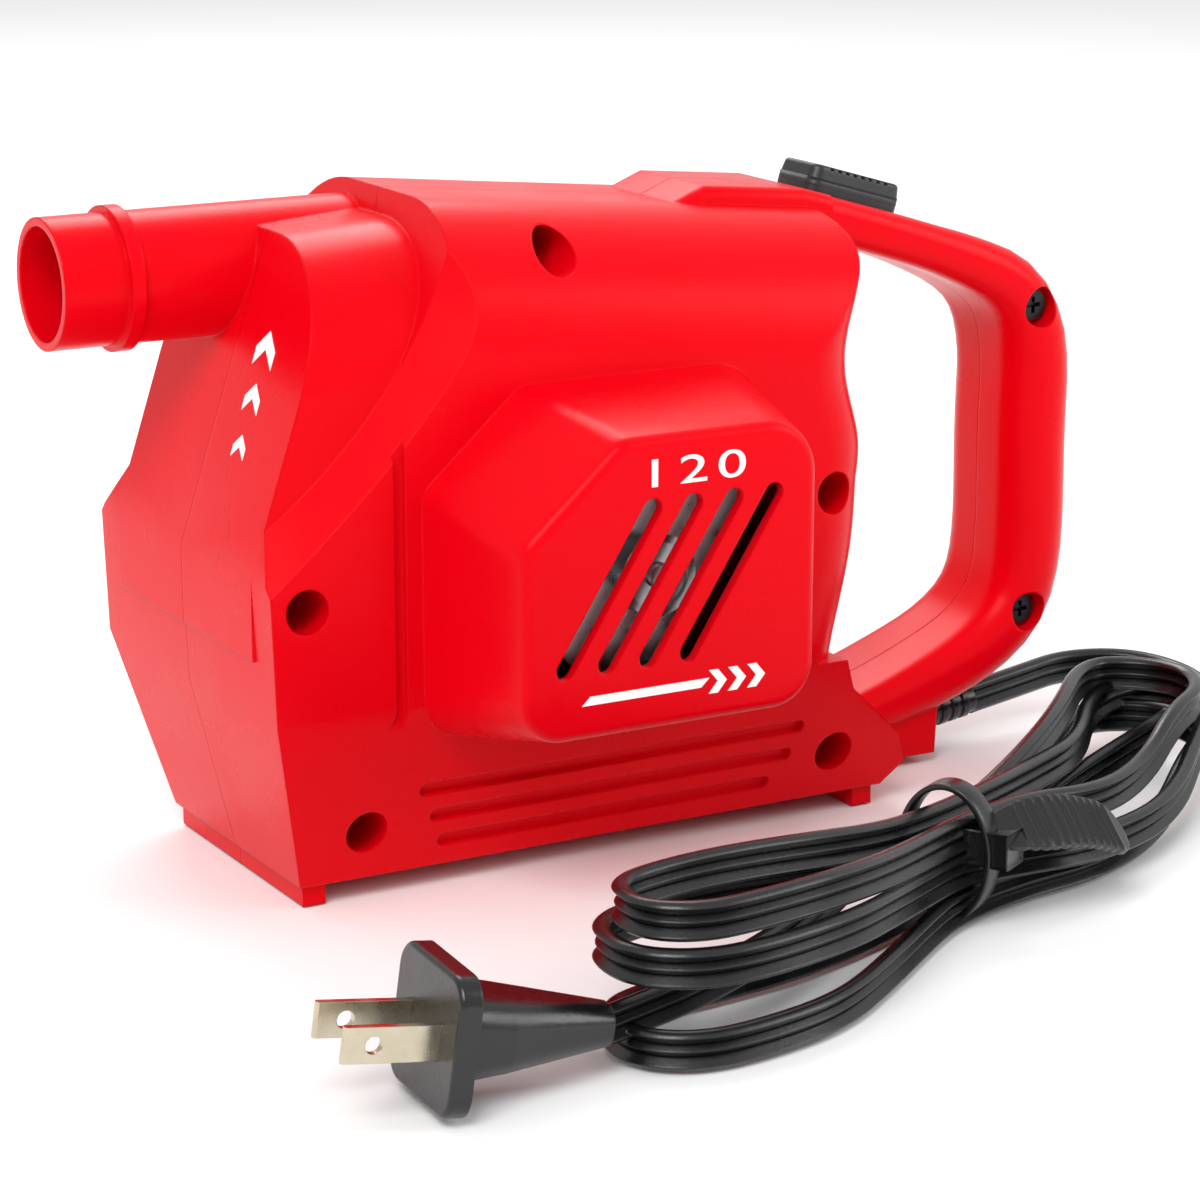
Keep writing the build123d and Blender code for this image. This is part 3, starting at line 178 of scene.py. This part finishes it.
# carbon steel, turned or pressed: grey with a fine lay
turnedSteel, skin, place = newMaterial("turned steel", {"Metallic": 1.0})
addTint(turnedSteel, skin, place, 90, "#8E9093", "#A9ABAE")
addRoughness(turnedSteel, skin, place, 300, 0.24, 0.4)
addGrain(turnedSteel, skin, place, 2200, 0.00001)

# steel, blackened in a hot bath: almost black, with a faint oily gleam on the heads
blackSteel, skin, place = newMaterial("black-oxide steel", {"Metallic": 1.0})
addTint(blackSteel, skin, place, 200, "#2B2C2F", "#3C3D41")
addRoughness(blackSteel, skin, place, 350, 0.34, 0.5)
addGrain(blackSteel, skin, place, 1800, 0.00001)

# silicon steel, stacked sheets 0.5 mm thick: dark grey with even lines across the stack
sheetSteel, skin, place = newMaterial("laminated silicon steel", {"Metallic": 1.0})
addTint(sheetSteel, skin, place, 80, "#55575B", "#6A6C70")
addRoughness(sheetSteel, skin, place, 120, 0.4, 0.55)
stack = addNode(
    sheetSteel, "ShaderNodeTexWave", {"Scale": 314.0, "bands_direction": "Y"}, {"Vector": place}
)
ridge = addNode(
    sheetSteel, "ShaderNodeBump", {"Strength": 1.0, "Distance": 0.00008}, {"Height": stack.outputs["Fac"]}
)
sheetSteel.node_tree.links.new(ridge.outputs["Normal"], skin.inputs["Normal"])

# enamelled copper wire, wound: orange-brown with a varnish gleam
woundCopper, skin, place = newMaterial("enamelled copper wire", {"Metallic": 0.85, "Coat Weight": 0.4})
addTint(woundCopper, skin, place, 240, "#A4471C", "#C4662C")
addRoughness(woundCopper, skin, place, 260, 0.25, 0.4)
addGrain(woundCopper, skin, place, 1400, 0.00015)

# brass, stamped: yellow, lightly rubbed
stampedBrass, skin, place = newMaterial("stamped brass", {"Metallic": 1.0})
addTint(stampedBrass, skin, place, 120, "#B58A3C", "#CDA552")
addRoughness(stampedBrass, skin, place, 260, 0.22, 0.38)

# carbon, pressed and fired: black and chalky
firedCarbon, skin, place = newMaterial("fired carbon", {"IOR": 1.6})
addTint(firedCarbon, skin, place, 300, "#121212", "#232323")
addRoughness(firedCarbon, skin, place, 400, 0.6, 0.8)

finishes = {
    "casing_red": redAbs,
    "black_plastic": blackAbs,
    "cord_black": blackPvc,
    "inner_plastic": greyNylon,
    "steel": turnedSteel,
    "screw_steel": blackSteel,
    "core_steel": sheetSteel,
    "copper": woundCopper,
    "brass": stampedBrass,
    "blade_metal": platedBrass,
    "carbon": firedCarbon,
}
softBlack = ("plug_body", "strain_relief")  # PVC mouldings on the cord
for part in frame["record"]["subparts"]:
    thing = nodes[part["node"]]
    finish = blackPvc if part["node"] in softBlack else finishes[part["material_slot"]]
    thing.data.materials.clear()
    thing.data.materials.append(finish)
print("finishes on the CAD nodes")


# helpers for new pieces
def settle(thing, finish, body):
    bpy.ops.object.select_all(action="DESELECT")
    thing.select_set(True)
    bpy.context.view_layer.objects.active = thing
    bpy.ops.object.transform_apply(location=True, rotation=True, scale=True)
    thing.data.materials.clear()
    thing.data.materials.append(finish)
    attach(thing, body)
    return thing


def applyAll(thing):
    bpy.context.view_layer.objects.active = thing
    for modifier in list(thing.modifiers):
        bpy.ops.object.modifier_apply(modifier=modifier.name)


# casing halves, with their facets smoothed
smoothing = {"merge": 0.00001, "angle": 24}
for name in ("motor_side_shell", "fan_side_shell"):
    bpy.ops.object.select_all(action="DESELECT")
    source = nodes[name]
    source.select_set(True)
    bpy.context.view_layer.objects.active = source
    bpy.ops.object.duplicate()
    shell = bpy.context.object
    shell.name = name + "_skin"
    for key in list(shell.keys()):
        if key.startswith("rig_"):
            del shell[key]
    bpy.ops.object.parent_clear(type="CLEAR_KEEP_TRANSFORM")
    if shell.data.has_custom_normals:
        bpy.ops.mesh.customdata_custom_splitnormals_clear()
    bpy.ops.object.mode_set(mode="EDIT")
    bpy.ops.mesh.select_all(action="SELECT")
    bpy.ops.mesh.remove_doubles(threshold=smoothing["merge"])
    bpy.ops.object.mode_set(mode="OBJECT")
    bpy.ops.object.shade_smooth_by_angle(angle=math.radians(smoothing["angle"]))
    settle(shell, redAbs, "housing")
    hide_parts(name)
print("casing halves smoothed")

# the button's foot: a thin pad under the tapered block that closes the gap above the handle
foot = {
    "middle": (140.5, 0, 124.8), "slope": 16.4, "size": (0.0236, 0.0146, 0.00042), "lift": 0.00028,
    "corner": 0.0028,
}
bpy.ops.object.select_all(action="DESELECT")
bpy.ops.mesh.primitive_cube_add(size=1)
pad = bpy.context.object
pad.name = "buttonFoot"
pad.scale = foot["size"]
bpy.ops.object.transform_apply(location=False, rotation=False, scale=True)
bpy.ops.object.mode_set(mode="EDIT")
bpy.ops.mesh.select_all(action="DESELECT")
bpy.ops.object.mode_set(mode="OBJECT")
for edge in pad.data.edges:
    low, high = (pad.data.vertices[k].co for k in edge.vertices)
    edge.select = abs(low.z - high.z) > foot["size"][2] / 2
bpy.ops.object.mode_set(mode="EDIT")
bpy.ops.mesh.select_mode(type="EDGE")
bpy.ops.mesh.bevel(offset=foot["corner"], segments=6)
bpy.ops.object.mode_set(mode="OBJECT")
tilt = Matrix.Rotation(math.radians(foot["slope"]), 4, "Y")
raised = Matrix.Translation(tilt @ Vector((0, 0, foot["lift"])))
pad.matrix_world = Matrix.Translation(spot(*foot["middle"])) @ raised @ tilt
bpy.ops.object.shade_smooth_by_angle(angle=math.radians(40))
settle(pad, blackAbs, "button")
print("button foot made")

# cord
cord = {
    "width": 0.0074,
    "thickness": 0.0038,
    "out": [(178.4, 0, 8.8), (193, 1, 10.5), (208, 5, 11), (222, -1, 11), (228, -14, 10), (224, -29, 9.5)],
    "away": [(189, -27.5), (166, -52), (142, -70), (120, -86),
        (104, -94), (86, -103), (66, -110), (46, -113)],
    "leftEnd": [(30, -114), (16.5, -118.5), (14.5, -132), (24, -140), (39, -139.5)],
    "home": [(57, -135), (76, -122), (92, -110), (104, -102), (122, -96), (146, -93), (170, -80)],
    "rightEnd": [(190, -63), (204, -52), (209.5, -39.5), (204, -28)],
    "toPlug": [(62, -115, 13), (44, -124, 12), (30, -128.5, 10.5), (20, -129.6, 9.2), (9.5, -130.9, 8.2)],
    "rowLeft": [3.9, 19.5, 27.0],
    "rowWaist": [4.1, 11.6, 19.1, 11.6],
    "rowRight": [3.9, 8.6, 14.0, 19.5],
    "spreadRight": [0.0, 4.5, -4.8, 1.5],
    "spreadLeft": [0.0, 1.8, -1.8],
    "waistSide": [0.0, 0.4, -0.3, 4.6],
    "length": 1.70,
}


def blendRow(x, turn):
    left = cord["rowLeft"][min(turn, 2)]
    waist = cord["rowWaist"][turn]
    right = cord["rowRight"][turn]
    if x < 100:
        share = min(max((100 - x) / 45, 0), 1)
        return waist + (left - waist) * share
    share = min(max((x - 108) / 45, 0), 1)
    return waist + (right - waist) * share


# loose turns differ in size, so a point moves away from the middle of its lobe
def pushed(x, y, turn, centre):
    amount = cord["spreadRight"][turn] if x > 112 else cord["spreadLeft"][min(turn, 2)] if x < 90 else 0
    away = Vector((x - centre[0], (y - centre[1]) * 1.6))
    away.normalize()
    return x + away.x * amount, y + away.y * amount


route = [spot(*p) for p in cord["out"]]
for turn in range(4):
    lastRun = turn == 3
    run = cord["away"][:6] if lastRun else cord["away"] + cord["leftEnd"] + cord["home"] + cord["rightEnd"]
    if turn == 0:
        run = run[1:]
    for index, (x, y) in enumerate(run):
        centre = (168, -66) if x > 110 else (38, -129)
        px, py = pushed(x, y, turn, centre)
        outward = index < len(cord["away"]) if turn else index < len(cord["away"]) - 1
        if 85 < x < 125 and outward:
            py += cord["waistSide"][turn]
        rowTurn = turn + 1 if (x > 185 and not outward) else turn
        route.append(spot(px, py, blendRow(x, min(rowTurn, 3))))
route += [spot(*p) for p in cord["toPlug"]]

line = bpy.data.curves.new("mainsCordLine", "CURVE")
line.dimensions = "3D"
line.resolution_u = 8
spline = line.splines.new("NURBS")
spline.points.add(len(route) - 1)
for point, where in zip(spline.points, route):
    point.co = (*where, 1)
spline.order_u = 3
spline.use_endpoint_u = True
bare = bpy.data.objects.new("mainsCordLine", line)
path = [v.co.copy() for v in bpy.data.meshes.new_from_object(bare).vertices]
bpy.data.objects.remove(bare)
bpy.data.curves.remove(line)

# two round cores side by side, standing on edge, with a groove between them
outline = []
core = cord["thickness"] / 2
apart = cord["width"] / 2 - core
for side in (1, -1):
    for step in range(9):
        angle = math.radians(-62 + 124 * step / 8) + (0 if side > 0 else math.pi)
        outline.append((core * math.sin(angle), side * apart + core * math.cos(angle)))
    outline.append((-side * core * 0.62, 0))

rings = []
for index, here in enumerate(path):
    ahead = path[min(index + 1, len(path) - 1)]
    behind = path[max(index - 1, 0)]
    along = (ahead - behind).normalized()
    across = along.cross(Vector((0, 0, 1))).normalized()
    up = across.cross(along).normalized()
    rings.append([here + across * x + up * y for x, y in outline])
verts = [v for ring in rings for v in ring]
count = len(outline)
faces = []
for index in range(len(rings) - 1):
    for k in range(count):
        a = index * count + k
        b = index * count + (k + 1) % count
        faces.append((a, b, b + count, a + count))
faces.append(tuple(range(count - 1, -1, -1)))
faces.append(tuple(range(len(verts) - count, len(verts))))
cordMesh = bpy.data.meshes.new("mainsCord")
cordMesh.from_pydata(verts, [], faces)
mainsCord = bpy.data.objects.new("mainsCord", cordMesh)
bpy.context.collection.objects.link(mainsCord)
bpy.ops.object.select_all(action="DESELECT")
mainsCord.select_set(True)
bpy.context.view_layer.objects.active = mainsCord
bpy.ops.object.mode_set(mode="EDIT")
bpy.ops.mesh.select_all(action="SELECT")
bpy.ops.mesh.normals_make_consistent(inside=False)
bpy.ops.object.mode_set(mode="OBJECT")
bpy.ops.object.shade_smooth_by_angle(angle=math.radians(50))
settle(mainsCord, blackPvc, "housing")
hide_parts("cord_lead", "cord_hank", "plug_lead")
length = sum((b - a).length for a, b in zip(path, path[1:]))
print("cord laid:", round(length, 3), "m")

# tie round the cord's waist
tie = {"middle": (105, -97.5, 14.3), "width": 0.0055, "half": (0.0088, 0.0127), "band": 0.0012}
bpy.ops.object.select_all(action="DESELECT")
bpy.ops.mesh.primitive_cylinder_add(vertices=64, radius=1, depth=tie["width"], end_fill_type="NOTHING")
band = bpy.context.object
band.name = "cordTieBand"
band.scale = (tie["half"][0], tie["half"][1], 1)
bpy.ops.object.transform_apply(location=False, rotation=False, scale=True)
solid = band.modifiers.new("wall", "SOLIDIFY")
solid.thickness = tie["band"]
solid.offset = 1
soft = band.modifiers.new("edge", "BEVEL")
soft.width = 0.0003
soft.segments = 2
applyAll(band)
along = Vector((8, 4.5, 0)).normalized()
across = Vector((-along.y, along.x, 0))
turn = Matrix((across, Vector((0, 0, 1)), along)).transposed().to_4x4()
band.matrix_world = Matrix.Translation(spot(*tie["middle"])) @ turn
bpy.ops.object.shade_smooth_by_angle(angle=math.radians(40))
settle(band, blackPvc, "housing")
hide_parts("cord_tie")

# the strap's lock: a small block with a waist, where the tongue comes out
lock = {"place": (110.5, -104.5, 16.5), "size": (0.0075, 0.0095, 0.0075), "lip": 0.0009, "depth": 0.0008}
bpy.ops.object.select_all(action="DESELECT")
bpy.ops.mesh.primitive_cube_add(size=1)
block = bpy.context.object
block.name = "cordTieLock"
block.scale = lock["size"]
bpy.ops.object.transform_apply(location=False, rotation=False, scale=True)
bpy.ops.object.mode_set(mode="EDIT")
bpy.ops.mesh.select_all(action="SELECT")
bpy.ops.mesh.inset(thickness=lock["lip"], depth=-lock["depth"], use_individual=True)
bpy.ops.object.mode_set(mode="OBJECT")
soft = block.modifiers.new("edge", "BEVEL")
soft.width = 0.0003
soft.segments = 2
applyAll(block)
block.matrix_world = Matrix.Translation(spot(*lock["place"])) @ Matrix(
    (along, across, Vector((0, 0, 1)))
).transposed().to_4x4()
bpy.ops.object.shade_smooth_by_angle(angle=math.radians(40))
settle(block, blackPvc, "housing")

# the strap's free end: a broad ribbed tongue with a round tip, rolled a little towards its front edge
tail = {
    "start": (111, -105, 19.5), "end": (141, -105.5, 14.5), "roll": 34, "width": 0.0125, "thick": 0.0013,
    "ribs": 15, "rib": 0.00045, "sag": 0.0035,
}
bpy.ops.object.select_all(action="DESELECT")
bpy.ops.mesh.primitive_grid_add(x_subdivisions=tail["ribs"] * 5, y_subdivisions=12, size=1)
tongue = bpy.context.object
tongue.name = "cordTieTongue"
reach = spot(*tail["end"]) - spot(*tail["start"])
for v in tongue.data.vertices:
    u = v.co.x + 0.5
    side = v.co.y * 2
    grow = 0.6 + 0.4 * min(u / 0.28, 1) ** 0.7
    tip = math.sqrt(max(1 - (max(u - 0.86, 0) / 0.14) ** 2, 0.02))
    ribbed = 0.1 < u < 0.9 and abs(side) < 0.84
    rib = tail["rib"] * max(math.sin(2 * math.pi * u * tail["ribs"]), 0) if ribbed else 0
    bow = tail["sag"] * math.sin(math.pi * u)
    v.co = (u * reach.length, side * 0.5 * tail["width"] * grow * tip, rib + bow)
thick = tongue.modifiers.new("wall", "SOLIDIFY")
thick.thickness = tail["thick"]
thick.offset = -1
applyAll(tongue)
aim = reach.normalized()
level = Vector((-aim.y, aim.x, 0)).normalized()
rolled = Matrix.Rotation(math.radians(tail["roll"]), 3, aim) @ level
tongue.matrix_world = Matrix.Translation(spot(*tail["start"])) @ Matrix(
    (aim, rolled, aim.cross(rolled))
).transposed().to_4x4()
bpy.ops.object.shade_smooth_by_angle(angle=math.radians(35))
settle(tongue, blackPvc, "housing")
print("tie made")

# white marks printed on the casing: a number, three arrow heads and a bar on the cover, three on the front
marks = {
    "film": 0.00012, "number": "120", "numberPlace": (63.8, -72, 89.2), "numberSize": (0.0205, 0.0054),
    "arrow": (0.0052, 0.0050), "arrowDip": 0.0022,
    "barPlace": (52.5, -72, 47), "barSize": (0.026, 0.0017), "barLean": 0.0009,
    "coverArrows": [(69.3, -72, 47), (73.6, -72, 47), (77.9, -72, 47)], "coverScale": 0.9,
    "frontArrows": [(-3.55, -13.5, 90.4), (-0.47, -13.5, 99.8), (2.68, -13.5, 109.4)],
    "frontScale": (1.05, 1.3, 1.6),
}
printed = []


def stamp(shape, place, right, up):
    right = Vector(right).normalized()
    up = Vector(up).normalized()
    out = right.cross(up)
    film = shape.modifiers.new("film", "SOLIDIFY")
    film.thickness = marks["film"]
    film.offset = 0.6
    applyAll(shape)
    shape.matrix_world = Matrix.Translation(spot(*place)) @ Matrix((right, up, out)).transposed().to_4x4()
    printed.append(shape)


def arrowHead(scale):
    bpy.ops.object.select_all(action="DESELECT")
    bpy.ops.mesh.primitive_grid_add(x_subdivisions=2, y_subdivisions=1, size=1)
    shape = bpy.context.object
    width, height = marks["arrow"]
    for v in shape.data.vertices:
        dip = 0 if abs(v.co.x) < 0.1 else -marks["arrowDip"]
        v.co = (v.co.x * width * scale, (v.co.y * height * 0.45 + dip) * scale, 0)
    return shape


bpy.ops.object.select_all(action="DESELECT")
bpy.ops.object.text_add()
number = bpy.context.object
number.data.body = marks["number"]
number.data.align_x = "CENTER"
number.data.align_y = "CENTER"
number.data.space_character = 1.25
bpy.ops.object.convert(target="MESH")
number = bpy.context.object
low = [min(v.co[k] for v in number.data.vertices) for k in (0, 1)]
high = [max(v.co[k] for v in number.data.vertices) for k in (0, 1)]
for v in number.data.vertices:
    v.co = [
        ((v.co[k] - low[k]) / (high[k] - low[k]) - 0.5) * marks["numberSize"][k] for k in (0, 1)
    ] + [0]
stamp(number, marks["numberPlace"], (1, 0, 0), (0, 0, 1))

bpy.ops.object.select_all(action="DESELECT")
bpy.ops.mesh.primitive_grid_add(x_subdivisions=1, y_subdivisions=1, size=1)
bar = bpy.context.object
for v in bar.data.vertices:
    v.co = (v.co.x * marks["barSize"][0] + v.co.y * 2 * marks["barLean"], v.co.y * marks["barSize"][1], 0)
stamp(bar, marks["barPlace"], (1, 0, 0), (0, 0, 1))
for place in marks["coverArrows"]:
    stamp(arrowHead(marks["coverScale"]), place, (0, 0, -1), (1, 0, 0))
for place, scale in zip(marks["frontArrows"], marks["frontScale"]):
    stamp(arrowHead(scale), place, (0, -1, 0), (0.31, 0, 0.95))

bpy.ops.object.select_all(action="DESELECT")
for shape in printed:
    shape.select_set(True)
bpy.context.view_layer.objects.active = printed[0]
bpy.ops.object.join()
casingMarks = bpy.context.object
casingMarks.name = "casingMarks"
settle(casingMarks, whiteInk, "housing")
print("marks printed")

# floor, light
bpy.ops.object.select_all(action="DESELECT")
bpy.ops.mesh.primitive_plane_add(size=12, location=(0, 0, -0.0004))
floor = bpy.context.object
floor.name = "floor"
paper, skin, place = newMaterial("white paper sweep", {"Base Color": linear("#F4F4F4"), "Roughness": 0.9})
floor.data.materials.append(paper)

lights = [
    ("key", (-0.9, -0.9, 1.3), 0.8, 18),
    ("fill", (1.1, -0.8, 0.7), 0.8, 7),
    ("back", (0.3, 1.0, 1.1), 0.8, 9),
]
for name, where, size, power in lights:
    bpy.ops.object.light_add(type="AREA", location=where)
    lamp = bpy.context.object
    lamp.name = name
    lamp.data.size = size
    lamp.data.energy = power
    lamp.rotation_euler = (Vector((0, 0, 0.06)) - Vector(where)).to_track_quat("-Z", "Y").to_euler()
studio = {"strength": 0.75}
world = bpy.data.worlds.new("studio")
bpy.context.scene.world = world
world.use_nodes = True
world.node_tree.nodes["Background"].inputs["Color"].default_value = (1, 1, 1, 1)
world.node_tree.nodes["Background"].inputs["Strength"].default_value = studio["strength"]
bpy.context.scene.view_settings.view_transform = "Standard"
print("floor and light set")
